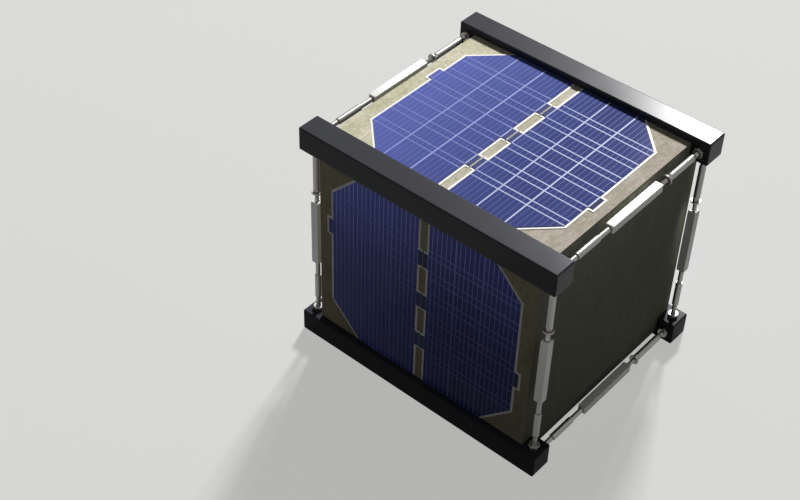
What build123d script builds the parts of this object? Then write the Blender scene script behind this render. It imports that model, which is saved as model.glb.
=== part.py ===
from build123d import *
import os

# A one-unit cube satellite: a jointed wooden box carried between four square rails, with a pair of
# half-size solar cells on each long face and four tie rods across each end.
# Millimetres. X runs along the rails, -Y is the front, +Z is up, and z = 0 is under the lower rails.
# Every piece is modelled about the middle of the satellite and lifted by half its height at the end.

# Rails
RAIL_LENGTH = 113.5
BODY_SIDE = 100.0            # over the rails' outer faces, in Y and in Z
RAIL_SIDE = 9.8              # square bar
RAIL_EDGE_RADIUS = 0.6

# Wooden box
RAIL_OVERHANG = 7.55         # the rails stand this far past the wood at each end
BOX_RECESS = 2.8             # the wood lies this far inside the rails' outer faces
WALL = 5.0
WOOD_FIT = 0.1               # between the wood and the rails

# Solar cells, one half-size cell each side of the middle of a face
ARRAY_END_MARGIN = 6.7       # bare wood between a cell and the end of the box
CELL_CROP = 13.5             # the two outer corners are cut at 45 degrees
CELL_GAP = 5.1               # between the two cells of a face
CELL_THICKNESS = 0.2
ARRAY_FIT = 0.2              # between a cell's long side and the rail
BORDER = 0.95                # pale rim that shows around a cell
BACKING_THICKNESS = 0.2
SLOT = 0.6                   # between the bridging tabs of the two halves
BRIDGE_WIDTH = 6.6
BRIDGE_PITCH = 20.1
BRIDGES = 3
LEAD_TAB_WIDTH = 6.5         # tab on a cell's outer edge
LEAD_TAB_REACH = 2.1
LEAD_TAB_OFFSET = 10.0       # from the middle of that edge

# Tie rods
TIE_FROM_WOOD = 3.75         # from an end wall's outer face to the ties' axes
STUD_DIAMETER = 1.6
STUD_SEAT = 3.2              # depth of the tapped hole in a rail
SLEEVE_DIAMETER = 2.6
NUT_ACROSS_FLATS = 3.4
NUT_HEIGHT = 2.0
COLLAR_DIAMETER = 4.0
COLLAR_HEIGHT = 0.7
TIE_BODY_SIDE = 3.2
TIE_BODY_CHAMFER = 0.25

# Along a tie, from the face of its first rail
COLLAR_AT = 21.2             # to the far side of the collar
BARE_STUD = 4.2              # from there to the square body
TIE_BODY_LENGTH = 30.1
NECK = 6.6                   # from the square body to the second sleeve

# Stack of boards and battery inside the box, one plain block on a plinth
STACK_SIDE_GAP = 5.2         # to the four walls round it
STACK_TOP_GAP = 11.4
PLINTH_HEIGHT = 5.0
PLINTH_INSET = 8.0           # from the block's sides to the plinth's

BOX_LENGTH = RAIL_LENGTH - 2 * RAIL_OVERHANG
HALF = BODY_SIDE / 2
RAIL_AXIS = HALF - RAIL_SIDE / 2
RAIL_INNER = HALF - RAIL_SIDE
BOX_OUTER = HALF - BOX_RECESS
BOX_INNER = BOX_OUTER - WALL
CELL_LENGTH = (BOX_LENGTH - CELL_GAP) / 2 - ARRAY_END_MARGIN
ARRAY_HALF_WIDTH = RAIL_INNER - ARRAY_FIT
TIE_X = BOX_LENGTH / 2 + TIE_FROM_WOOD
TIE_SPAN = 2 * RAIL_INNER
TIE_BODY_START = COLLAR_AT + BARE_STUD
TIE_BODY_END = TIE_BODY_START + TIE_BODY_LENGTH
STACK_LENGTH = BOX_LENGTH - 2 * (WALL + STACK_SIDE_GAP)
STACK_WIDTH = 2 * (BOX_INNER - STACK_SIDE_GAP)
STACK_HEIGHT = 2 * BOX_INNER - STACK_TOP_GAP - PLINTH_HEIGHT

# side, sign in Y, sign in Z
RAILS = [
    ("upper_front", -1, 1),
    ("upper_back", 1, 1),
    ("lower_front", -1, -1),
    ("lower_back", 1, -1),
]

# long face, turn about X that brings the top there
FACES = [
    ("top", 0),
    ("front", 90),
    ("bottom", 180),
    ("back", 270),
]

ENDS = [("right", 1), ("left", -1)]

# tie, side of the satellite, runs upright
TIES = [
    ("top", 1, False),
    ("bottom", -1, False),
    ("front", -1, True),
    ("back", 1, True),
]


def rod(diameter, start, end):
    """A round bar along Z."""
    return Pos(0, 0, (start + end) / 2) * Cylinder(diameter / 2, end - start)


def hexagon(across_flats, start, end):
    """A hexagonal bar along Z."""
    outline = RegularPolygon(across_flats / 2, 6, major_radius=False)
    return Pos(0, 0, start) * extrude(outline, end - start)


def rail(side_y, side_z):
    """A square bar with blind tapped holes in its two inner faces for the tie rods' studs."""
    bar = Box(RAIL_LENGTH, RAIL_SIDE, RAIL_SIDE)
    bar = fillet(bar.edges().filter_by(Axis.X), RAIL_EDGE_RADIUS)
    hole = rod(STUD_DIAMETER, 0, STUD_SEAT)
    for end in (-1, 1):
        bar -= Pos(end * TIE_X, -side_y * RAIL_SIDE / 2, 0) * Rot(-90 * side_y, 0, 0) * hole
        bar -= Pos(end * TIE_X, 0, -side_z * RAIL_SIDE / 2) * Rot(90 - 90 * side_z, 0, 0) * hole
    return Pos(0, side_y * RAIL_AXIS, side_z * RAIL_AXIS) * bar


def long_panel():
    """The top wall: its ends are mitred, and its sides meet the rails."""
    half = BOX_LENGTH / 2
    profile = Plane.XZ * Polygon(
        (-half, BOX_OUTER),
        (half, BOX_OUTER),
        (half - WALL, BOX_INNER),
        (WALL - half, BOX_INNER),
        align=None,
    )
    return extrude(profile, RAIL_INNER - WOOD_FIT, both=True)


def end_panel(end):
    """An end wall: mitred on its four sides, and notched at its corners for the rails."""
    panel = extrude(Rectangle(2 * BOX_OUTER, 2 * BOX_OUTER), -WALL, taper=45)
    notch_side = RAIL_SIDE + 2 * WOOD_FIT
    for side_y in (-1, 1):
        for side_z in (-1, 1):
            panel -= Pos(side_z * RAIL_AXIS, side_y * RAIL_AXIS, 0) * Box(notch_side, notch_side, 3 * WALL)
    return Pos(end * BOX_LENGTH / 2, 0, 0) * Rot(0, 90 * end, 0) * panel


def half_array(border):
    """Outline of the right half of the top array, grown by the pale rim where border isn't 0."""
    inner = CELL_GAP / 2 - border
    outer = CELL_GAP / 2 + CELL_LENGTH + border
    side = ARRAY_HALF_WIDTH
    crop = CELL_CROP - border * (2 ** 0.5 - 1)
    outline = Polygon(
        (inner, -side),
        (outer - crop, -side),
        (outer, crop - side),
        (outer, side - crop),
        (outer - crop, side),
        (inner, side),
        align=None,
    )
    bridge_reach = inner - SLOT / 2
    for number in range(BRIDGES):
        across = (number - (BRIDGES - 1) / 2) * BRIDGE_PITCH
        bridge = Rectangle(2 * bridge_reach, BRIDGE_WIDTH + 2 * border)
        outline += Pos(inner, across) * bridge
    lead = Rectangle(2 * LEAD_TAB_REACH, LEAD_TAB_WIDTH + 2 * border)
    return outline + Pos(outer, -LEAD_TAB_OFFSET) * lead


def array_layer(border, start, thickness):
    """Both halves of one layer of the top array. The left half is the right one turned half round."""
    half = Pos(0, 0, start) * extrude(half_array(border), thickness)
    return [half, Rot(0, 0, 180) * half]


def tie_body():
    """The square body of a tie, between its two studs. The first rail's face is at z = 0."""
    body = Box(TIE_BODY_SIDE, TIE_BODY_SIDE, TIE_BODY_LENGTH)
    body = chamfer(body.faces().filter_by(Axis.Z).edges(), TIE_BODY_CHAMFER)
    return [Pos(0, 0, (TIE_BODY_START + TIE_BODY_END) / 2) * body]


def tie_studs():
    """The two sleeved studs that the square body draws together. A nut locks each in its rail, and a
    collar at the end of the first sleeve locks the square body."""
    near = rod(STUD_DIAMETER, -STUD_SEAT, TIE_BODY_START)
    near += hexagon(NUT_ACROSS_FLATS, 0, NUT_HEIGHT)
    near += rod(SLEEVE_DIAMETER, NUT_HEIGHT, COLLAR_AT - COLLAR_HEIGHT)
    near += rod(COLLAR_DIAMETER, COLLAR_AT - COLLAR_HEIGHT, COLLAR_AT)
    far = rod(STUD_DIAMETER, TIE_BODY_END, TIE_SPAN + STUD_SEAT)
    far += rod(SLEEVE_DIAMETER, TIE_BODY_END + NECK, TIE_SPAN - NUT_HEIGHT)
    far += hexagon(NUT_ACROSS_FLATS, TIE_SPAN - NUT_HEIGHT, TIE_SPAN)
    return [near, far]


def tie_place(end, side, upright):
    """Upright ties start at the upper rail, the others at the back rail."""
    if upright:
        return Pos(end * TIE_X, side * RAIL_AXIS, RAIL_INNER) * Rot(180, 0, 0)
    return Pos(end * TIE_X, RAIL_INNER, side * RAIL_AXIS) * Rot(90, 0, 0)


def stack():
    """The boards and battery as one block, on a plinth that stands on the bottom wall."""
    floor = -BOX_INNER
    block = Box(STACK_LENGTH, STACK_WIDTH, STACK_HEIGHT)
    plinth = Box(STACK_LENGTH - 2 * PLINTH_INSET, STACK_WIDTH - 2 * PLINTH_INSET, PLINTH_HEIGHT)
    block = Pos(0, 0, floor + PLINTH_HEIGHT + STACK_HEIGHT / 2) * block
    return block + Pos(0, 0, floor + PLINTH_HEIGHT / 2) * plinth


def all_nodes():
    """Every node's name and its solids, about the middle of the satellite."""
    nodes = {}
    for name, side_y, side_z in RAILS:
        nodes["rail_" + name] = [rail(side_y, side_z)]
    for name, turn in FACES:
        nodes["wood_" + name] = [Rot(turn, 0, 0) * long_panel()]
        backing = array_layer(BORDER, BOX_OUTER, BACKING_THICKNESS)
        cells = array_layer(0, BOX_OUTER + BACKING_THICKNESS, CELL_THICKNESS)
        nodes["array_rim_" + name] = [Rot(turn, 0, 0) * half for half in backing]
        nodes["array_cells_" + name] = [Rot(turn, 0, 0) * half for half in cells]
    for end_name, end in ENDS:
        nodes["wood_" + end_name] = [end_panel(end)]
        for name, side, upright in TIES:
            place = tie_place(end, side, upright)
            tie = "tie_" + end_name + "_" + name
            nodes[tie + "_body"] = [place * piece for piece in tie_body()]
            nodes[tie + "_studs"] = [place * piece for piece in tie_studs()]
    nodes["board_stack"] = [stack()]
    return nodes


def main():
    os.makedirs("parts", exist_ok=True)
    for name, solids in all_nodes().items():
        lifted = [Pos(0, 0, HALF) * solid for solid in solids]
        shape = lifted[0] if len(lifted) == 1 else Compound(lifted)
        export_step(shape, "parts/" + name + ".step")


main()
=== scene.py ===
"""Looks of a wooden cube satellite, made round its fixed frame. Sizes are in metres in the frame's axes:
X along the rails, -Y the front, +Z up."""

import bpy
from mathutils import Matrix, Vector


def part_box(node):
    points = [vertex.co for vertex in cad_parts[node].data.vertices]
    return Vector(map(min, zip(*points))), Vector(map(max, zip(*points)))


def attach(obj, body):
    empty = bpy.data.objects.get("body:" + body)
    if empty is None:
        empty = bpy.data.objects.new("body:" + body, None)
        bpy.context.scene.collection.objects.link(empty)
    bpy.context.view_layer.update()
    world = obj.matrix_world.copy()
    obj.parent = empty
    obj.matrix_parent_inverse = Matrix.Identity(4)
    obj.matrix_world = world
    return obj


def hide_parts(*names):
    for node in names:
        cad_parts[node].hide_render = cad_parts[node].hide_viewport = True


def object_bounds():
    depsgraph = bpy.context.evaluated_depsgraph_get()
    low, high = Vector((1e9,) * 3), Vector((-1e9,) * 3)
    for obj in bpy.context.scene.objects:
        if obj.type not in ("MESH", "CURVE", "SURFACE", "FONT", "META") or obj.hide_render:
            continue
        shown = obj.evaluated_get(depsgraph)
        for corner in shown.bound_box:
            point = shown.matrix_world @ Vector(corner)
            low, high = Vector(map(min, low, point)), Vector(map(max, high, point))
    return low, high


bl_info = {
    "name": "Wooden cube satellite",
    "version": (1, 0, 0),
    "blender": (4, 5, 0),
    "location": "3D View > Sidebar > Satellite",
    "description": "Dresses the frame of a wooden cube satellite and sets up its studio",
    "category": "Object",
}

import math

import bpy
from bpy.props import FloatProperty, FloatVectorProperty, IntProperty, PointerProperty
from mathutils import Matrix, Vector

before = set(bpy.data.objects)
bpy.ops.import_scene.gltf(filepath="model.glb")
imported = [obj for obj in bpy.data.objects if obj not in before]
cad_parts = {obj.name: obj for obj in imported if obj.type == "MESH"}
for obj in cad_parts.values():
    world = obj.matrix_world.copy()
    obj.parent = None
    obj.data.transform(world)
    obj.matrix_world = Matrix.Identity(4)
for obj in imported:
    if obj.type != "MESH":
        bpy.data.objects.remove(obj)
CAD_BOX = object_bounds()

MM = 0.001
MIDDLE = Vector((0, 0, CAD_BOX[1].z / 2))

# rails, by height and depth
RAILS = ["upper_front", "upper_back", "lower_front", "lower_back"]

# long face, turn about the X axis through the middle that brings the top there, in degrees
FACES = [("top", 0), ("front", 90), ("bottom", 180), ("back", 270)]

ENDS = ["right", "left"]

# places on the right half of the top array, in millimetres from the middle of the face: busbars along X,
# bridging tabs across it, and the printed lines, which are mirrored, across it too
BUSBARS = (14.6, 26.75)
TABS = (-20.1, 0, 20.1)
LINES = (3.4, 6.65, 13.45, 16.7, 23.55, 26.5)

# the camera that fits the corners of the rails in the photograph: millimetres, degrees, millimetres
CAMERA_PLACE = (243.47, -353.418, 431.323)
CAMERA_TURN = (47.5844, -1.3333, 40.9162)
CAMERA_LENS = 68.7226

# Edges that turn by less than this are shaded smooth.
SMOOTH_BELOW = math.radians(32)

# Noise seldom leaves this range of values.
NOISE_LOW, NOISE_HIGH = 0.3, 0.7

# Tone of the wood between its soft clouds, and the pinker tone in them
PLAIN_TONE = (0.985, 0.995, 0.94)
CLOUD_TONE = (1.03, 0.995, 1.05)

# Painted light that pales a wall upwards does so between these heights, from this share of its colour
PALE_FROM, PALE_TO = 30 * MM, 85 * MM
FOOT_SHARE = 0.9


def length(label, what, millimetres):
    """A length that a user may change, in metres, from a default in millimetres."""
    return FloatProperty(
        name=label, description=what, default=millimetres * MM, min=0, unit="LENGTH", subtype="DISTANCE",
        precision=5,
    )


def linear(code):
    """A hex sRGB colour as linear red, green and blue."""
    shares = [int(code[start:start + 2], 16) / 255 for start in (1, 3, 5)]
    return tuple(c / 12.92 if c <= 0.04045 else ((c + 0.055) / 1.055) ** 2.4 for c in shares)


def colour(label, what, code):
    """A colour that a user may change, from a hex sRGB default."""
    return FloatVectorProperty(
        name=label, description=what, default=linear(code), min=0, max=1, subtype="COLOR", size=3)


class RailSizes(bpy.types.PropertyGroup):
    edge: length("Edge radius", "Rounding of the rails' long edges", 0.6)
    tint: colour("Black", "Dye of the hard anodised rails", "#414248")


class BoxSizes(bpy.types.PropertyGroup):
    sapwood: colour("Sapwood", "Yellowish wood at the left end of the long panels", "#dbd8bb")
    heartwood: colour("Heartwood", "Greyish wood at the right end of the long panels", "#bcb4a6")
    # The front and bottom walls' wood and the end walls' greener wood are darker than the top's, partly as
    # painted shade.
    lower_wood_and_shade: colour("Lower wood", "Yellowish wood of the front and bottom panels", "#b2aa8e")
    end_wood_and_shade: colour("End wood", "Greyish wood of the two end walls", "#8a8c7c")
    streak_width: length("Streak width", "Distance between the faint streaks of the grain", 0.9)
    streak_length: length("Streak length", "Length of one streak", 12)
    fleck_width: length("Fleck width", "Size of a fine fleck across the grain", 1.2)
    fleck_length: length("Fleck length", "Size of a fine fleck along the grain", 1.8)
    cloud_width: length("Cloud width", "Size of a soft cloud across the grain", 5)
    cloud_length: length("Cloud length", "Size of a soft cloud along the grain", 9)


class CellSizes(bpy.types.PropertyGroup):
    inner_edge: length("Inner edge", "From the middle of the face to a cell's inner edge", 2.55)
    outer_edge: length("Outer edge", "From the middle of the face to a cell's outer edge", 42.5)
    crop: length("Corner crop", "Length of the two corners that are cut off at 45 degrees", 13.5)
    pitch: length("Finger pitch", "Distance between the thin printed fingers", 2.04)
    first_finger: length("First finger", "From the middle of the face to the first finger", 4.05)
    fingers: IntProperty(name="Fingers", description="Printed fingers on one cell", default=19, min=1)
    finger_width: length("Finger width", "Width of a printed finger", 0.24)
    busbar_width: length("Busbar width", "Width of a soldered busbar", 0.57)
    line_width: length("Line width", "Width of a line of a printed pair", 0.5)
    rise: length("Conductor height", "How far the conductors stand above the glass", 0.04)
    slot: length("Slot", "Between the bridging tabs of the two halves", 0.6)
    film_edge: length("Film edge", "Film that shows in the slot, past each tab", 0.11)
    tab_width: length("Tab width", "Width of a bridging tab", 6.6)
    lead_width: length("Lead width", "Width of the lead tab on a cell's outer edge", 6.5)
    lead_offset: length("Lead offset", "From the middle of that edge to the middle of the lead tab", 10)
    lead_reach: length("Lead reach", "How far the lead tab stands out", 2.1)
    margin: length("Margin", "From the ends of the busbars to the cell's edge", 0.5)
    inner_strip: length("Inner strip", "From a cell's inner edge to the middle of its tabs' strip", 0.15)
    outer_strip: length("Outer strip", "From its outer edge out to the middle of the lead tab's strip", 0.25)
    film_top: length("Film top", "From the glass down to the film in the slot", 0.02)
    film_foot: length("Film foot", "From the glass down to the film's lower side there", 0.4)
    deep_from: length("Deep from", "From the middle to where the cells reach their deepest blue", 15)
    # A painted sheen pales the front's cells, fingers and lines upwards by this much.
    sheen: FloatProperty(name="Sheen", description="How far the front's cells pale upwards", default=1.4)
    left: colour("Left blue", "Cells at the left end", "#6772bf")
    right: colour("Right blue", "Cells at the right end", "#48518d")
    finger_left: colour("Left finger", "Fingers seen through the coating, left end", "#7a84c9")
    finger_right: colour("Right finger", "Fingers seen through the coating, right end", "#555c93")
    # The busbars and pairs brighten towards the right end: a painted highlight.
    silver_left: colour("Left silver", "Busbars, left end", "#8692e5")
    silver_right: colour("Right silver", "Busbars, right end", "#dee8ff")
    pair_left: colour("Left pair", "Printed pairs, left cell", "#8490d3")
    pair_right: colour("Right pair", "Printed pairs, right cell", "#ced8ff")
    # The front's cells are bluer than the top's: painted shade.
    front_left: colour("Left front blue", "Cells of the front, left end", "#6772cd")
    front_right: colour("Right front blue", "Cells of the front, right end", "#485198")
    tab_left: colour("Left tab", "Glass of the tabs, left end", "#7179ba")
    tab_right: colour("Right tab", "Glass of the tabs, right end", "#4e5474")
    # The lines of the front and bottom are a duller copy of the top's: painted shade.
    shaded_silver_left: colour("Left coated silver", "Lines on the front and bottom, left end", "#707bc8")
    shaded_silver_right: colour("Right coated silver", "The same lines at the right end", "#7c84c0")
    # The fingers of the front and bottom are much brighter than the top's: a painted reflection.
    clear_left: colour("Left clear finger", "Fingers on the front and bottom, left end", "#bcc3ff")
    clear_right: colour("Right clear finger", "The same fingers at the right end", "#9298ce")
    rim: colour("Rim", "White silicone film round the cells", "#f7f6f2")


class TieSizes(bpy.types.PropertyGroup):
    stud: length("Stud", "Diameter of the threaded studs", 1.6)
    root: length("Thread root", "Diameter at the bottom of the thread", 1.25)
    pitch: length("Thread pitch", "Distance between two turns of the thread", 0.35)
    seat: length("Seat", "How deep the studs sit in the rails", 3.0)
    sleeve: length("Sleeve", "Diameter of the sleeves", 2.6)
    flats: length("Across flats", "Width of the hexagon nuts at the rails", 3.4)
    nut: length("Nut height", "Height of a nut at a rail, with its flange", 1.6)
    nut_chamfer: length("Nut chamfer", "Height of the cone that trims a nut's corners", 0.25)
    flange: length("Flange", "Diameter of the flanges on nuts and collars", 4.0)
    flange_height: length("Flange height", "Thickness of a flange", 0.6)
    standoff: length("Standoff", "From the first rail to the first sleeve", 3.3)
    shoulder: length("Shoulder", "Length of the rounded start of the first sleeve", 2.2)
    hub: length("Hub", "Height of the small hexagon between the first sleeve and the collar", 1.9)
    hub_flats: length("Hub flats", "Width of that hexagon", 2.3)
    bare: length("Bare stud", "Threaded stud between a collar and the square body", 4.2)
    neck: length("Neck", "Diameter of the plain neck past the square body", 1.9)
    neck_length: length("Neck length", "From the square body to the second sleeve", 6.6)
    far_standoff: length("Far standoff", "From the second sleeve to the second rail", 6.5)
    edge: length("Edge", "Chamfer at the ends of the square bodies", 0.3)
    broken: length("Broken edge", "Chamfer of the square bodies' long edges", 0.07)
    sink_start: length("Sink start", "How far the countersinks' cones start outside the ends", 0.1)
    sink_mouth: length("Sink mouth", "Width of such a cone where it starts", 2.5)
    sink_depth: length("Sink depth", "How deep it goes", 0.45)
    sink_foot: length("Sink foot", "Its width at that depth", 1.65)
    polished: colour("Polished steel", "Rods, nuts and collars", "#94928f")
    blasted: colour("Blasted steel", "Square bodies", "#e9e8e5")


class StudioSettings(bpy.types.PropertyGroup):
    floor: colour("Floor", "Plain pale floor", "#dcdcda")
    floor_size: length("Floor size", "Side of the floor", 8000)
    floor_gap: length("Floor gap", "From the rails down to the floor", 0.05)
    bounce: FloatProperty(
        name="Bounce", description="Share of the floor's colour that lights the satellite", default=0.15)
    lit: FloatProperty(
        name="Lit", description="Share of its colour that takes light and shadow", default=0.42)
    glow: FloatProperty(
        name="Glow", description="Share of its colour that shows without light", default=0.62)
    key_power: FloatProperty(name="Key", description="Power of the soft key light in watts", default=200)
    key_azimuth: FloatProperty(
        name="Key azimuth", description="From +X towards +Y", default=math.radians(111.6), subtype="ANGLE")
    key_height: FloatProperty(
        name="Key height", description="Above the horizon", default=math.radians(37.7), subtype="ANGLE")
    key_size: length("Key size", "Side of the square soft box", 480)
    distance: length("Distance", "From the satellite to the soft box", 4000)
    fill: FloatProperty(name="Fill", description="Strength of the even light from all round", default=0.066)


def pick_nothing():
    """Deselects everything."""
    bpy.ops.object.select_all(action="DESELECT")


def pick(*objects):
    """Selects these objects alone. The last one becomes active."""
    pick_nothing()
    for obj in objects:
        obj.select_set(True)
    bpy.context.view_layer.objects.active = objects[-1]


def remove(obj):
    """Deletes obj."""
    pick(obj)
    bpy.ops.object.delete()


def apply_modifier(obj, kind, **settings):
    """Adds one modifier to obj and applies it."""
    pick(obj)
    bpy.ops.object.modifier_add(type=kind)
    modifier = obj.modifiers[-1]
    for key, value in settings.items():
        setattr(modifier, key, value)
    bpy.ops.object.modifier_apply(modifier=modifier.name)


def combine(obj, tool, operation):
    """Cuts obj with tool or to the inside of tool, and deletes tool."""
    apply_modifier(obj, "BOOLEAN", object=tool, operation=operation, solver="EXACT")
    remove(tool)


def join(*objects):
    """Joins the objects into the last one."""
    pick(*objects)
    bpy.ops.object.join()
    return objects[-1]


def settle(obj):
    """Puts obj's place, turn and size into its mesh."""
    pick(obj)
    bpy.ops.object.transform_apply(location=True, rotation=True, scale=True)


def copy_to(obj, place):
    """A copy of obj with its own mesh, set by the matrix place."""
    pick(obj)
    bpy.ops.object.duplicate(linked=False)
    double = bpy.context.view_layer.objects.active
    double.matrix_world = place
    settle(double)
    return double


def hand_over(obj, name, material, slot, *nodes):
    """Names a finished piece, gives it its finish, and ties it to the frame."""
    settle(obj)
    obj.name = name
    obj.data.name = name
    bpy.ops.object.shade_smooth_by_angle(angle=SMOOTH_BELOW)
    obj.data.materials.clear()
    obj.data.materials.append(material)
    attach(obj, "root")
    if nodes:
        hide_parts(*nodes)
    return obj


def bar(low, high):
    """A plain bar between two corners, as a start for a piece."""
    low, high = Vector(low), Vector(high)
    pick_nothing()
    bpy.ops.mesh.primitive_cube_add(size=1, location=(low + high) / 2)
    obj = bpy.context.view_layer.objects.active
    obj.scale = high - low
    settle(obj)
    return obj


def turned(rings, sides=36):
    """A piece turned on a lathe about Z: rings are (place, diameter) from one end to the other."""
    place, diameter = rings[0]
    pick_nothing()
    bpy.ops.mesh.primitive_circle_add(
        vertices=sides, radius=diameter / 2, fill_type="NGON", location=(0, 0, 0))
    obj = bpy.context.view_layer.objects.active
    bpy.ops.object.mode_set(mode="EDIT")
    bpy.ops.mesh.select_all(action="SELECT")
    bpy.ops.transform.translate(value=(0, 0, place))
    for next_place, next_diameter in rings[1:]:
        bpy.ops.mesh.extrude_region_move(TRANSFORM_OT_translate={"value": (0, 0, next_place - place)})
        share = next_diameter / diameter
        bpy.ops.transform.resize(value=(share, share, 1), center_override=(0, 0, next_place))
        place, diameter = next_place, next_diameter
    bpy.ops.mesh.select_all(action="SELECT")
    bpy.ops.mesh.normals_make_consistent(inside=False)
    bpy.ops.object.mode_set(mode="OBJECT")
    return obj


def hexagon(start, end, flats, chamfer):
    """A hexagon nut along Z, with its corners trimmed by a cone at both ends."""
    corners = 2 * flats / math.sqrt(3)
    pick_nothing()
    bpy.ops.mesh.primitive_cylinder_add(
        vertices=6, radius=corners / 2, depth=end - start, location=(0, 0, (start + end) / 2))
    nut = bpy.context.view_layer.objects.active
    settle(nut)
    round_face = 0.97 * flats
    slope = (corners - round_face) / chamfer
    # The cone reaches past the nut's ends and corners, so that no face or corner of the two coincides.
    past = chamfer / 2
    trim = turned([
        (start - past, round_face - past * slope),
        (start + chamfer + past, corners + past * slope),
        (end - chamfer - past, corners + past * slope),
        (end + past, round_face - past * slope),
    ])
    trim.rotation_euler = (0, 0, math.radians(5))
    settle(trim)
    combine(nut, trim, "INTERSECT")
    return nut


def add_node(tree, kind, inputs=None, **settings):
    """Adds a node. An input is a value, or the output of another node that is linked to it."""
    node = tree.nodes.new(kind)
    for key, value in settings.items():
        setattr(node, key, value)
    for socket, value in (inputs or {}).items():
        if isinstance(value, bpy.types.NodeSocket):
            tree.links.new(value, node.inputs[socket])
        else:
            node.inputs[socket].default_value = value
    return node


def empty_material(name):
    """A new material with an empty node tree."""
    material = bpy.data.materials.new(name)
    material.use_nodes = True
    material.node_tree.nodes.clear()
    return material, material.node_tree


def show(tree, shader):
    """Makes shader the surface of the material."""
    add_node(tree, "ShaderNodeOutputMaterial", {"Surface": shader.outputs[0]})


def rgba(value):
    """Red, green and blue with full cover."""
    return (value[0], value[1], value[2], 1)


def left_to_right(tree, spot, start, end, left, right):
    """A colour that goes along X from left at start to right at end, and is even outside them."""
    side = add_node(tree, "ShaderNodeSeparateXYZ", {"Vector": spot}).outputs[0]
    share = add_node(tree, "ShaderNodeMapRange", {
        "Value": side, "From Min": start, "From Max": end}).outputs[0]
    return add_node(tree, "ShaderNodeMix", {
        0: share, 6: rgba(left), 7: rgba(right)}, data_type="RGBA").outputs[2]


def painted_light_upwards(tree, spot, shade, lift):
    """Painted light: raises shade towards the upper edge of a wall, by lift at most. No lift leaves it as it
    is.
    """
    if not lift:
        return shade
    height = add_node(tree, "ShaderNodeSeparateXYZ", {"Vector": spot}).outputs[2]
    share = add_node(tree, "ShaderNodeMapRange", {
        "Value": height, "From Min": PALE_FROM, "From Max": PALE_TO}).outputs[0]
    square = add_node(tree, "ShaderNodeMath", {0: share, 1: 2.0}, operation="POWER").outputs[0]
    gain = add_node(tree, "ShaderNodeMath", {
        0: square, 1: lift, 2: FOOT_SHARE}, operation="MULTIPLY_ADD").outputs[0]
    return add_node(tree, "ShaderNodeMath", {0: shade, 1: gain}, operation="MULTIPLY").outputs[0]


def planed_magnolia(name, sizes, grain, contrast, lift, left, right):
    """Bare planed magnolia, a pale and even hardwood: faint streaks, fine flecks and soft clouds, all drawn
    out along the grain, and no gloss. grain is the axis that they follow, and lift is how far painted light
    pales the wood upwards."""
    material, tree = empty_material(name)
    spot = add_node(tree, "ShaderNodeTexCoord").outputs["Object"]
    fade = 50 * MM
    board = left_to_right(tree, spot, -fade, fade, left, right)
    # size across and along the grain, roughness of the noise, how far it swings the shade
    # The pores are finer than 0.1 mm. They are drawn as flecks of more than 1 mm so that they show.
    layers = [
        (sizes.streak_width, sizes.streak_length, 0.6, 0.08),
        (sizes.fleck_width, sizes.fleck_length, 0.7, 0.2),
        (sizes.cloud_width, sizes.cloud_length, 0.5, 0.13),
    ]
    shade = 1.0
    patterns = []
    for across, along, rough, swing in layers:
        squeeze = [1, 1, 1]
        squeeze[grain] = across / along
        drawn = add_node(tree, "ShaderNodeMapping", {"Vector": spot, "Scale": squeeze}).outputs[0]
        pattern = add_node(tree, "ShaderNodeTexNoise", {
            "Vector": drawn, "Scale": 1 / across, "Detail": 3, "Roughness": rough}).outputs[0]
        part = add_node(tree, "ShaderNodeMapRange", {
            "Value": pattern, "From Min": NOISE_LOW, "From Max": NOISE_HIGH,
            "To Min": 1 - contrast * swing, "To Max": 1 + contrast * swing}).outputs[0]
        shade = add_node(tree, "ShaderNodeMath", {0: shade, 1: part}, operation="MULTIPLY").outputs[0]
        patterns.append(pattern)
    streaks, clouds = patterns[0], patterns[2]
    # Painted light: with lift, the wall pales upwards.
    shade = painted_light_upwards(tree, spot, shade, lift)
    pink = add_node(tree, "ShaderNodeMapRange", {
        "Value": clouds, "From Min": 0.35, "From Max": 0.65}).outputs[0]
    tone = add_node(tree, "ShaderNodeMix", {
        0: pink, 6: rgba(PLAIN_TONE), 7: rgba(CLOUD_TONE)}, data_type="RGBA").outputs[2]
    toned = add_node(tree, "ShaderNodeVectorMath", {0: board, 1: tone}, operation="MULTIPLY").outputs[0]
    wood = add_node(tree, "ShaderNodeVectorMath", {0: toned, "Scale": shade}, operation="SCALE").outputs[0]
    relief = add_node(tree, "ShaderNodeBump", {
        "Height": streaks, "Strength": 0.3, "Distance": 0.02 * MM}).outputs[0]
    shader = add_node(tree, "ShaderNodeBsdfPrincipled", {
        "Base Color": wood, "Roughness": 0.65, "IOR": 1.12, "Normal": relief})
    show(tree, shader)
    return material


def hard_anodised_aluminium(name, sizes, ior):
    """Hard anodised aluminium, dyed black over a satin blasted face: it mirrors lamps as a soft sheen. What
    shows is the dyed layer of oxide, which isn't a metal, and ior is matched to its sheen."""
    material, tree = empty_material(name)
    spot = add_node(tree, "ShaderNodeTexCoord").outputs["Object"]
    # Blasting leaves pits of about 0.1 mm. They are drawn at 0.35 mm so that they show.
    pits = add_node(tree, "ShaderNodeTexNoise", {
        "Vector": spot, "Scale": 1 / (0.35 * MM), "Detail": 2}).outputs[0]
    # The layer grows unevenly over about 18 mm.
    cloud = add_node(tree, "ShaderNodeTexNoise", {
        "Vector": spot, "Scale": 1 / (18 * MM), "Detail": 3}).outputs[0]
    gloss = add_node(tree, "ShaderNodeMapRange", {
        "Value": cloud, "From Min": NOISE_LOW, "From Max": NOISE_HIGH,
        "To Min": 0.2, "To Max": 0.24}).outputs[0]
    relief = add_node(tree, "ShaderNodeBump", {
        "Height": pits, "Strength": 0.12, "Distance": 0.004 * MM}).outputs[0]
    shader = add_node(tree, "ShaderNodeBsdfPrincipled", {
        "Base Color": rgba(sizes.tint), "Roughness": gloss, "IOR": ior, "Normal": relief})
    show(tree, shader)
    return material


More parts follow.
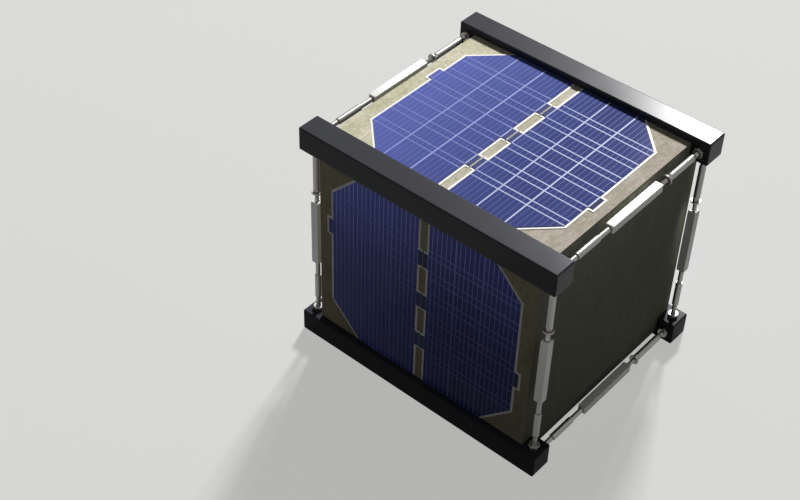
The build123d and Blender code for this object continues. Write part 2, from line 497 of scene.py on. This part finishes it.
def coated_cell(name, sizes, left, right, lift=0):
    """A blue silicon cell under coated cover glass: deep colour that pales to the left, with little gloss.
    lift is how far a painted sheen pales it upwards too."""
    material, tree = empty_material(name)
    spot = add_node(tree, "ShaderNodeTexCoord").outputs["Object"]
    blue = left_to_right(tree, spot, -sizes.outer_edge, sizes.deep_from, left, right)
    # The coating varies over about 9 mm.
    cloud = add_node(tree, "ShaderNodeTexNoise", {
        "Vector": spot, "Scale": 1 / (9 * MM), "Detail": 3, "Roughness": 0.6}).outputs[0]
    shade = add_node(tree, "ShaderNodeMapRange", {
        "Value": cloud, "From Min": NOISE_LOW, "From Max": NOISE_HIGH,
        "To Min": 0.95, "To Max": 1.05}).outputs[0]
    # Painted sheen: with lift, the cells pale upwards.
    shade = painted_light_upwards(tree, spot, shade, lift)
    tinted = add_node(tree, "ShaderNodeVectorMath", {0: blue, "Scale": shade}, operation="SCALE").outputs[0]
    shader = add_node(tree, "ShaderNodeBsdfPrincipled", {
        "Base Color": tinted, "Roughness": 0.08, "IOR": 1.08})
    show(tree, shader)
    return material


def silicone_film(sizes):
    """White silicone film under the cells' edges: matte, and slightly uneven where it was rolled on."""
    material, tree = empty_material("white_silicone_film")
    spot = add_node(tree, "ShaderNodeTexCoord").outputs["Object"]
    # A roller leaves marks of about 0.5 mm. They are drawn at 1.5 mm so that they show.
    rolled = add_node(tree, "ShaderNodeTexNoise", {
        "Vector": spot, "Scale": 1 / (1.5 * MM), "Detail": 2}).outputs[0]
    relief = add_node(tree, "ShaderNodeBump", {
        "Height": rolled, "Strength": 0.2, "Distance": 0.02 * MM}).outputs[0]
    shader = add_node(tree, "ShaderNodeBsdfPrincipled", {
        "Base Color": rgba(sizes.rim), "Roughness": 0.5, "Normal": relief})
    show(tree, shader)
    return material


def printed_silver(name, start, end, left, right, lift=0):
    """Silver paste printed on the cells, under their coating: pale lines with a tint of blue and a soft
    gloss. They stay dull up to start and brighten from there to end; on the busbars and printed pairs this
    brightening is a painted highlight. lift is how far a painted sheen pales them upwards."""
    material, tree = empty_material(name)
    spot = add_node(tree, "ShaderNodeTexCoord").outputs["Object"]
    silver = left_to_right(tree, spot, start, end, left, right)
    # The grains of the paste are finer than 0.1 mm. They are drawn at 0.7 mm so that they show.
    grit = add_node(tree, "ShaderNodeTexNoise", {
        "Vector": spot, "Scale": 1 / (0.7 * MM), "Detail": 2}).outputs[0]
    shade = add_node(tree, "ShaderNodeMapRange", {
        "Value": grit, "To Min": 0.93, "To Max": 1.06}).outputs[0]
    # Painted sheen: with lift, the lines pale upwards.
    shade = painted_light_upwards(tree, spot, shade, lift)
    tint = add_node(tree, "ShaderNodeVectorMath", {0: silver, "Scale": shade}, operation="SCALE").outputs[0]
    shader = add_node(tree, "ShaderNodeBsdfPrincipled", {
        "Base Color": tint, "Roughness": 0.35, "IOR": 1.12})
    show(tree, shader)
    return material


def stainless_steel(name, tint, metallic, smooth, rough):
    """Stainless steel. Polished, it is all mirror and sheen. Bead-blasted, most of the light scatters
    evenly, so it looks paler and flatter."""
    material, tree = empty_material(name)
    spot = add_node(tree, "ShaderNodeTexCoord").outputs["Object"]
    # The buff and the beads leave marks finer than 0.1 mm. They are drawn at 0.5 mm so that they show.
    marks = add_node(tree, "ShaderNodeTexNoise", {
        "Vector": spot, "Scale": 1 / (0.5 * MM), "Detail": 3, "Roughness": 0.6}).outputs[0]
    gloss = add_node(tree, "ShaderNodeMapRange", {
        "Value": marks, "From Min": NOISE_LOW, "From Max": NOISE_HIGH,
        "To Min": smooth, "To Max": rough}).outputs[0]
    shader = add_node(tree, "ShaderNodeBsdfPrincipled", {
        "Base Color": rgba(tint), "Metallic": metallic, "Roughness": gloss})
    show(tree, shader)
    return material


def solder_masked_board():
    """Green solder mask on the stack of boards, which the closed box hides."""
    material, tree = empty_material("solder_masked_board")
    spot = add_node(tree, "ShaderNodeTexCoord").outputs["Object"]
    # The cloth in a board has a weave of about 0.5 mm. It is drawn at 2 mm.
    weave = add_node(tree, "ShaderNodeTexNoise", {"Vector": spot, "Scale": 1 / (2 * MM)}).outputs[0]
    gloss = add_node(tree, "ShaderNodeMapRange", {
        "Value": weave, "To Min": 0.35, "To Max": 0.5}).outputs[0]
    shader = add_node(tree, "ShaderNodeBsdfPrincipled", {
        "Base Color": rgba(linear("#2f6b3f")), "Roughness": gloss})
    show(tree, shader)
    return material


def dress(node, material):
    """Gives a frame node its finish. Its shape is already right."""
    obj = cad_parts[node]
    obj.data.materials.clear()
    obj.data.materials.append(material)


class SATELLITE_OT_rails(bpy.types.Operator):
    """Makes the four square rails with rounded edges"""
    bl_idname = "satellite.rails"
    bl_label = "Rails"

    def execute(self, context):
        sizes = context.scene.satellite_rails
        # The lower pair is a copy that mirrors less, so that it looks darker: painted shade.
        upper = hard_anodised_aluminium("hard_anodised_aluminium", sizes, 1.18)
        lower = hard_anodised_aluminium("shaded_anodised_aluminium", sizes, 1.07)
        for name in RAILS:
            material = upper if name.startswith("upper") else lower
            low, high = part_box("rail_" + name)
            piece = bar(low, high)
            apply_modifier(piece, "BEVEL", width=sizes.edge, segments=4, limit_method="ANGLE")
            hand_over(piece, "rail_bar_" + name, material, "rail_black", "rail_" + name)
            apply_modifier(piece, "WEIGHTED_NORMAL", keep_sharp=True)
        return {"FINISHED"}


class SATELLITE_OT_wooden_box(bpy.types.Operator):
    """Gives the six wooden walls their grain"""
    bl_idname = "satellite.wooden_box"
    bl_label = "Wooden box"

    def execute(self, context):
        sizes = context.scene.satellite_box
        # wall, axis of its grain, contrast of the grain, how far painted light pales it upwards, wood at its
        # left and right, darker on the front, bottom and end walls partly as painted shade
        walls = [
            ("top", 1, 1, 0, sizes.sapwood, sizes.heartwood),
            ("front", 2, 0.7, 0.25, sizes.lower_wood_and_shade, sizes.lower_wood_and_shade),
            ("bottom", 1, 0.7, 0, sizes.lower_wood_and_shade, sizes.lower_wood_and_shade),
            ("back", 2, 1, 0, sizes.sapwood, sizes.heartwood),
            ("right", 2, 0.6, 0.5, sizes.end_wood_and_shade, sizes.end_wood_and_shade),
            ("left", 2, 0.6, 0.5, sizes.end_wood_and_shade, sizes.end_wood_and_shade),
        ]
        for name, grain, contrast, lift, left, right in walls:
            wood = planed_magnolia("planed_magnolia_" + name, sizes, grain, contrast, lift, left, right)
            dress("wood_" + name, wood)
        dress("board_stack", solder_masked_board())
        return {"FINISHED"}


def strip_row(low, high, count, step):
    """Bars side by side along X or Y, from the first one's corners."""
    row = bar(low, high)
    if count > 1:
        apply_modifier(
            row, "ARRAY", count=count, use_relative_offset=False, use_constant_offset=True,
            constant_offset_displace=step)
    return row


def trim_corners(piece, sizes, side):
    """Cuts a half array's conductors at the two cropped corners of the cell."""
    pick(piece)
    bpy.ops.object.mode_set(mode="EDIT")
    for turn in (1, -1):
        corner = (sizes.outer_edge, turn * (side - sizes.crop), 0)
        bpy.ops.mesh.select_all(action="SELECT")
        bpy.ops.mesh.bisect(plane_co=corner, plane_no=(1, turn, 0), use_fill=True, clear_outer=True)
    bpy.ops.object.mode_set(mode="OBJECT")


def bridging_tabs(sizes):
    """Where the right half's three bridging tabs start and end along Y."""
    return [(place * MM - sizes.tab_width / 2, place * MM + sizes.tab_width / 2) for place in TABS]


def lead_tab(sizes):
    """Where its lead tab starts and ends along Y."""
    return -sizes.lead_offset - sizes.lead_width / 2, -sizes.lead_offset + sizes.lead_width / 2


def on_faces(half, name, materials, slot="solar_cell"):
    """Copies the right half's pieces to both halves of the long faces that materials names."""
    turned_half = copy_to(half, Matrix.Rotation(math.pi, 4, "Z"))
    whole = join(turned_half, half)
    for face, turn in FACES:
        if face in materials:
            about_middle = Matrix.Translation(MIDDLE) @ Matrix.Rotation(math.radians(turn), 4, "X")
            piece = copy_to(whole, about_middle)
            hand_over(piece, name + "_" + face, materials[face], slot)
    remove(whole)


class SATELLITE_OT_cells(bpy.types.Operator):
    """Gives the cells and their rims their finish, and lays the conductors on them"""
    bl_idname = "satellite.cells"
    bl_label = "Solar cells"

    def execute(self, context):
        sizes = context.scene.satellite_cells
        glass = coated_cell("coated_cell_glass", sizes, sizes.left, sizes.right)
        film = silicone_film(sizes)
        for name, turn in FACES:
            dress("array_cells_" + name, glass)
            dress("array_rim_" + name, film)
        # The front's cells are a bluer copy, painted shade, which pales upwards, a painted sheen.
        dress("array_cells_front", coated_cell(
            "coated_cell_glass_front", sizes, sizes.front_left, sizes.front_right, sizes.sheen))
        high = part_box("array_cells_top")[1]
        side = high.y
        top = high.z - MIDDLE.z
        self.fingers(sizes, side, top)
        self.busbars(sizes, side, top)
        self.pairs(sizes, top)
        self.tabs(sizes, top, film)
        return {"FINISHED"}

    def fingers(self, sizes, side, top):
        """Nineteen fingers across each cell, cut off at its cropped corners."""
        first = sizes.first_finger
        half = strip_row(
            (first - sizes.finger_width / 2, -side, top - sizes.rise / 2),
            (first + sizes.finger_width / 2, side, top + sizes.rise / 4),
            sizes.fingers, (sizes.pitch, 0, 0))
        trim_corners(half, sizes, side)
        end = sizes.outer_edge
        # The front and bottom get brighter fingers than the top and back, a painted reflection; the front's
        # also pale upwards, a painted sheen.
        faint = printed_silver("faint_finger_print", -end, end, sizes.finger_left, sizes.finger_right)
        clear = printed_silver("clear_finger_print", -end, end, sizes.clear_left, sizes.clear_right)
        lifted = printed_silver(
            "clear_finger_print_front", -end, end, sizes.clear_left, sizes.clear_right, sizes.sheen)
        on_faces(half, "fingers", {"top": faint, "front": lifted, "bottom": clear, "back": faint})

    def busbars(self, sizes, side, top):
        """Two soldered busbars across each cell, and strips along its tabs."""
        reach = side - sizes.margin
        runs = [(place * MM, -reach, reach) for place in BUSBARS]
        runs += [(sizes.inner_edge - sizes.inner_strip, *tab) for tab in bridging_tabs(sizes)]
        runs.append((sizes.outer_edge + sizes.outer_strip, *lead_tab(sizes)))
        parts = []
        for middle, start, end in runs:
            parts.append(bar(
                (middle - sizes.busbar_width / 2, start, top - sizes.rise / 2),
                (middle + sizes.busbar_width / 2, end, top + sizes.rise)))
        end = sizes.outer_edge
        # The top and back busbars brighten to the right, a painted highlight. The front and bottom get a
        # duller copy, painted shade, which also takes the painted sheen.
        bright = printed_silver("soldered_silver", -end, end, sizes.silver_left, sizes.silver_right)
        dull = printed_silver(
            "shaded_soldered_silver", -end, end, sizes.shaded_silver_left, sizes.shaded_silver_right, sizes.sheen)
        half = join(*parts)
        on_faces(half, "busbars", {"top": bright, "front": dull, "bottom": dull, "back": bright})

    def pairs(self, sizes, top):
        """Six pairs of printed lines along each cell."""
        parts = []
        for place in LINES:
            for middle in (place * MM, -place * MM):
                parts.append(bar(
                    (sizes.inner_edge, middle - sizes.line_width / 2, top - sizes.rise / 2),
                    (sizes.outer_edge, middle + sizes.line_width / 2, top + sizes.rise * 0.7)))
        # The left cell's lines are dull, and the right one's brighten from the slot to near its middle: a
        # painted highlight. The front and bottom get a duller copy of them, painted shade.
        start, end = -8 * MM, 17 * MM
        bright = printed_silver("printed_silver", start, end, sizes.pair_left, sizes.pair_right)
        dull = printed_silver(
            "shaded_printed_silver", start, end, sizes.shaded_silver_left, sizes.shaded_silver_right, sizes.sheen)
        half = join(*parts)
        on_faces(half, "printed_pairs", {"top": bright, "front": dull, "bottom": dull, "back": bright})

    def tabs(self, sizes, top, film):
        """Glass with less blue on the tabs, and the film that is pressed up past them in the slot."""
        under = top - sizes.rise / 2
        over = top + sizes.rise / 4
        tip = sizes.slot / 2
        start, end = lead_tab(sizes)
        plates = [bar(
            (sizes.outer_edge, start, under), (sizes.outer_edge + sizes.lead_reach, end, over))]
        edges = []
        for start, end in bridging_tabs(sizes):
            plates.append(bar((tip, start, under), (sizes.inner_edge, end, over)))
            edges.append(bar(
                (tip - sizes.film_edge, start, top - sizes.film_foot), (tip, end, top - sizes.film_top)))
        glass = coated_cell("tab_glass", sizes, sizes.tab_left, sizes.tab_right)
        on_faces(join(*plates), "tab_plates", {face: glass for face, turn in FACES})
        on_faces(join(*edges), "film_edges", {"top": film, "back": film}, "cell_rim")


def thread(start, end, sizes):
    """Rings of a threaded stud from start to end."""
    rings = []
    place = start
    while place + sizes.pitch <= end:
        rings += [(place, sizes.root), (place + sizes.pitch / 2, sizes.stud)]
        place += sizes.pitch
    return rings + [(end, sizes.root)]


def shoulder(start, sizes):
    """Rings of the rounded start of a sleeve."""
    # share of its length, share of the sleeve's diameter
    profile = [(0, 0.64), (0.1, 0.74), (0.28, 0.84), (0.52, 0.93), (0.76, 0.98), (1, 1)]
    return [(start + along * sizes.shoulder, share * sizes.sleeve) for along, share in profile]


def flange(start, sizes):
    """Rings of a flange from start, with its edges broken."""
    end = start + sizes.flange_height
    broken = 0.1 * MM
    return [
        (start, sizes.stud),
        (start, sizes.flange - 2 * broken),
        (start + broken, sizes.flange),
        (end - broken, sizes.flange),
        (end, sizes.flange - 2 * broken),
        (end, sizes.stud),
    ]


def rods(span, body_start, body_end, sizes):
    """The two sleeved studs of a tie along Z, from the first rail's face at 0 to the other at span."""
    collar_start = body_start - sizes.bare - sizes.flange_height
    hub_start = collar_start - sizes.hub
    neck_end = body_end + sizes.neck_length
    far_end = span - sizes.far_standoff
    flange_from_rail = sizes.nut - sizes.flange_height
    broken = 0.12 * MM
    bite = 0.3 * MM
    groove = 0.5 * MM
    near = [(-sizes.seat, sizes.stud)]
    near += flange(flange_from_rail, sizes)
    near += thread(sizes.nut, sizes.standoff, sizes)
    near += shoulder(sizes.standoff, sizes)
    near += [
        (hub_start - broken, sizes.sleeve),
        (hub_start, sizes.sleeve - 2 * broken),
        (hub_start, sizes.stud),
    ]
    near += flange(collar_start, sizes)
    near += thread(collar_start + sizes.flange_height, body_start + bite, sizes)
    far = [
        (body_end - bite, sizes.neck),
        (neck_end, sizes.neck),
        (neck_end, sizes.sleeve - broken),
        (neck_end + broken / 2, sizes.sleeve),
        (far_end - 2 * broken, sizes.sleeve),
        (far_end, sizes.sleeve - 4 * broken),
        (far_end, sizes.root),
        (far_end + groove, sizes.root),
        (far_end + groove, sizes.neck),
        (span - sizes.nut, sizes.neck),
    ]
    far += flange(span - sizes.nut, sizes)
    far += [(span + sizes.seat, sizes.stud)]
    nuts = [
        hexagon(0, flange_from_rail, sizes.flats, sizes.nut_chamfer),
        hexagon(span - flange_from_rail, span, sizes.flats, sizes.nut_chamfer),
        hexagon(hub_start, collar_start, sizes.hub_flats, sizes.nut_chamfer),
    ]
    return join(turned(far), *nuts, turned(near))


def square_body(start, end, side, sizes):
    """The square body of a tie along Z: chamfered ends, broken long edges, a countersink at each end."""
    body = bar((-side / 2, -side / 2, start), (side / 2, side / 2, end))
    pick(body)
    bpy.ops.object.mode_set(mode="EDIT")
    bpy.ops.mesh.select_mode(type="EDGE")
    bpy.ops.mesh.select_all(action="DESELECT")
    bpy.ops.object.mode_set(mode="OBJECT")
    for edge in body.data.edges:
        first, last = (body.data.vertices[i].co for i in edge.vertices)
        edge.select = abs(first.z - last.z) < (end - start) / 2
    bpy.ops.object.mode_set(mode="EDIT")
    bpy.ops.mesh.bevel(offset=sizes.edge, segments=1)
    bpy.ops.object.mode_set(mode="OBJECT")
    apply_modifier(body, "BEVEL", width=sizes.broken, segments=1, limit_method="ANGLE")
    for place, way in ((start, 1), (end, -1)):
        sink = turned([
            (place - way * sizes.sink_start, sizes.sink_mouth),
            (place + way * sizes.sink_depth, sizes.sink_foot),
        ], sides=24)
        combine(body, sink, "DIFFERENCE")
    return body


class SATELLITE_OT_ties(bpy.types.Operator):
    """Makes the eight tie rods: sleeves, studs, nuts, collars and square bodies"""
    bl_idname = "satellite.ties"
    bl_label = "Tie rods"

    def execute(self, context):
        sizes = context.scene.satellite_ties
        # side of the satellite, axis that the tie runs along, first rail and the rail at the other end
        rows = [
            ("top", 1, "rail_upper_back", "rail_upper_front"),
            ("bottom", 1, "rail_lower_back", "rail_lower_front"),
            ("front", 2, "rail_upper_front", "rail_lower_front"),
            ("back", 2, "rail_upper_back", "rail_lower_back"),
        ]
        polished = stainless_steel("polished_stainless_steel", sizes.polished, 1, 0.34, 0.42)
        # Metal in part: the pits of the blasting scatter light as a pale matte face does.
        blasted = stainless_steel("bead_blasted_stainless_steel", sizes.blasted, 0.22, 0.52, 0.58)
        for side, axis, first, last in rows:
            self.pair(side, axis, first, last, sizes, polished, blasted)
        return {"FINISHED"}

    def pair(self, side, axis, first, last, sizes, polished, blasted):
        """A tie at each end of the satellite, from one set of templates."""
        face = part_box(first)[0][axis]
        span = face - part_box(last)[1][axis]
        low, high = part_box("tie_right_" + side + "_body")
        body_start, body_end = face - high[axis], face - low[axis]
        template = rods(span, body_start, body_end, sizes)
        block = square_body(body_start, body_end, high.x - low.x, sizes)
        turn = Matrix.Rotation(math.pi if axis == 2 else math.pi / 2, 4, "X")
        for end in ENDS:
            node = "tie_" + end + "_" + side
            low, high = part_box(node + "_body")
            place = (low + high) / 2
            place[axis] = face
            matrix = Matrix.Translation(place) @ turn
            hand_over(copy_to(template, matrix), node + "_rods", polished, "tie_steel", node + "_studs")
            hand_over(copy_to(block, matrix), node + "_block", blasted, "tie_steel", node + "_body")
        remove(template)
        remove(block)


def seen_directly(tree):
    """One for what the camera, metal or glass sees, and none for light on other surfaces."""
    path = add_node(tree, "ShaderNodeLightPath").outputs
    mirrored = add_node(tree, "ShaderNodeMath", {
        0: path["Is Glossy Ray"], 1: path["Is Transmission Ray"]}, operation="MAXIMUM").outputs[0]
    return add_node(tree, "ShaderNodeMath", {
        0: path["Is Camera Ray"], 1: mirrored}, operation="MAXIMUM").outputs[0]


class SATELLITE_OT_studio(bpy.types.Operator):
    """Sets the floor, the lamps and the camera"""
    bl_idname = "satellite.studio"
    bl_label = "Studio"

    def execute(self, context):
        settings = context.scene.satellite_studio
        self.floor(settings)
        self.lamps(context, settings)
        self.camera(context)
        context.scene.view_settings.view_transform = "Standard"
        return {"FINISHED"}

    def floor(self, settings):
        """A pale floor, which is clear from below. Only what the camera, metal or glass sees of it is pale,
        so it hardly lights the satellite. It lies a hair under the rails, clear of their lower faces."""
        pick_nothing()
        bpy.ops.mesh.primitive_plane_add(size=settings.floor_size, location=(0, 0, -settings.floor_gap))
        floor = bpy.context.view_layer.objects.active
        floor.name = "studio_floor"
        material, tree = empty_material("studio_floor")
        seen = seen_directly(tree)
        pale = rgba(settings.floor)
        dim = rgba([settings.bounce * share for share in settings.floor])
        lit = rgba([settings.lit * share for share in settings.floor])
        paint = add_node(tree, "ShaderNodeMix", {0: seen, 6: dim, 7: lit}, data_type="RGBA").outputs[2]
        glow = add_node(tree, "ShaderNodeMath", {
            0: seen, 1: settings.glow}, operation="MULTIPLY").outputs[0]
        shader = add_node(tree, "ShaderNodeBsdfPrincipled", {
            "Base Color": paint, "Roughness": 0.9, "Specular IOR Level": 0.0,
            "Emission Color": pale, "Emission Strength": glow})
        below = add_node(tree, "ShaderNodeNewGeometry").outputs["Backfacing"]
        clear = add_node(tree, "ShaderNodeBsdfTransparent")
        show(tree, add_node(tree, "ShaderNodeMixShader", {
            0: below, 1: shader.outputs[0], 2: clear.outputs[0]}))
        floor.data.materials.append(material)

    def lamps(self, context, settings):
        """A soft box behind the satellite, and an even fill."""
        around, above = settings.key_azimuth, settings.key_height
        level = math.cos(above)
        away = Vector((level * math.cos(around), level * math.sin(around), math.sin(above)))
        lamp = bpy.data.lights.new("soft_box", "AREA")
        lamp.shape = "SQUARE"
        lamp.size = settings.key_size
        lamp.energy = settings.key_power
        box = bpy.data.objects.new("soft_box", lamp)
        box.location = MIDDLE + away * settings.distance
        box.rotation_euler = away.to_track_quat("Z", "Y").to_euler()
        context.scene.collection.objects.link(box)
        world = bpy.data.worlds.new("even_fill")
        world.use_nodes = True
        tree = world.node_tree
        tree.nodes.clear()
        fill = (settings.fill, settings.fill, settings.fill, 1)
        light = add_node(tree, "ShaderNodeMix", {
            0: seen_directly(tree), 6: fill, 7: rgba(settings.floor)}, data_type="RGBA").outputs[2]
        shader = add_node(tree, "ShaderNodeBackground", {"Color": light})
        add_node(tree, "ShaderNodeOutputWorld", {"Surface": shader.outputs[0]})
        context.scene.world = world

    def camera(self, context):
        """The camera at the photograph's viewing angle."""
        data = bpy.data.cameras.new("camera")
        data.sensor_width = 36
        data.lens = CAMERA_LENS
        camera = bpy.data.objects.new("camera", data)
        camera.location = Vector(CAMERA_PLACE) * MM
        camera.rotation_euler = [math.radians(turn) for turn in CAMERA_TURN]
        data.clip_start = 10 * MM
        data.clip_end = 20
        context.scene.collection.objects.link(camera)
        context.scene.camera = camera


class SATELLITE_PT_sidebar(bpy.types.Panel):
    """Lists the satellite's pieces and their sizes"""
    bl_label = "Satellite"
    bl_space_type = "VIEW_3D"
    bl_region_type = "UI"
    bl_category = "Satellite"

    def draw(self, context):
        for group, operator in GROUPS:
            settings = getattr(context.scene, "satellite_" + group)
            column = self.layout.column()
            column.operator(operator)
            for key in settings.bl_rna.properties.keys():
                if key not in ("name", "rna_type"):
                    column.prop(settings, key)


GROUPS = [
    ("rails", "satellite.rails"),
    ("box", "satellite.wooden_box"),
    ("cells", "satellite.cells"),
    ("ties", "satellite.ties"),
    ("studio", "satellite.studio"),
]

SETTINGS = [RailSizes, BoxSizes, CellSizes, TieSizes, StudioSettings]

CLASSES = SETTINGS + [
    SATELLITE_OT_rails,
    SATELLITE_OT_wooden_box,
    SATELLITE_OT_cells,
    SATELLITE_OT_ties,
    SATELLITE_OT_studio,
    SATELLITE_PT_sidebar,
]


def register():
    """Adds the operators, the sidebar and the scene's settings."""
    for kind in CLASSES:
        bpy.utils.register_class(kind)
    for (group, operator), kind in zip(GROUPS, SETTINGS):
        setattr(bpy.types.Scene, "satellite_" + group, PointerProperty(type=kind))


def unregister():
    """Takes them out again."""
    for group, operator in GROUPS:
        delattr(bpy.types.Scene, "satellite_" + group)
    for kind in reversed(CLASSES):
        bpy.utils.unregister_class(kind)


def main():
    register()
    bpy.ops.satellite.studio()
    bpy.ops.satellite.rails()
    bpy.ops.satellite.wooden_box()
    bpy.ops.satellite.cells()
    bpy.ops.satellite.ties()


if __name__ == "__main__":
    main()
